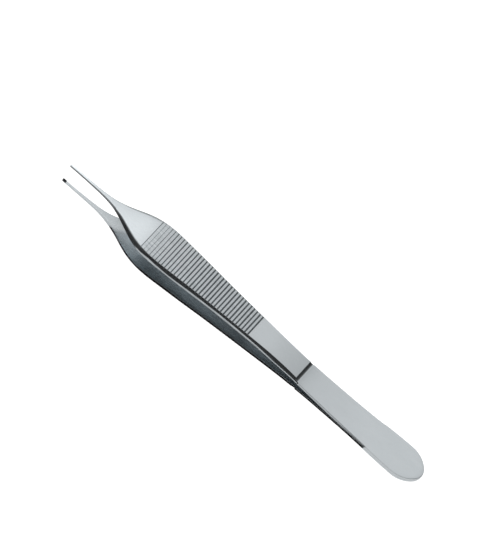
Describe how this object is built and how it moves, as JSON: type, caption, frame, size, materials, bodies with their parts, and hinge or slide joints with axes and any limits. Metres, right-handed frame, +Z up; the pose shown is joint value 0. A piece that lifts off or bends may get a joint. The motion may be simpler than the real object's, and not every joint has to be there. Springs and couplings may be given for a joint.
{
  "type": "thumb forceps",
  "caption": "Toothed thumb forceps: sprung steel arms joined at the heel, with a grooved thumb grip and slender toothed tips.",
  "frame": {"origin": "middle of the underside of the forceps' box, on the surface that they lie on", "axes": "+X from the toothed tips to the heel, +Y across the arms, +Z up; the arms lie one above the other, with the outer face of the lower one's thumb plate flat on the surface"},
  "size_m": [0.1202, 0.0112, 0.0127],
  "materials": {
    "satin_steel": "satin"
  },
  "bodies": {
    "root": {"upper_arm": "satin_steel", "lower_arm": "satin_steel"}
  },
  "joints": []
}
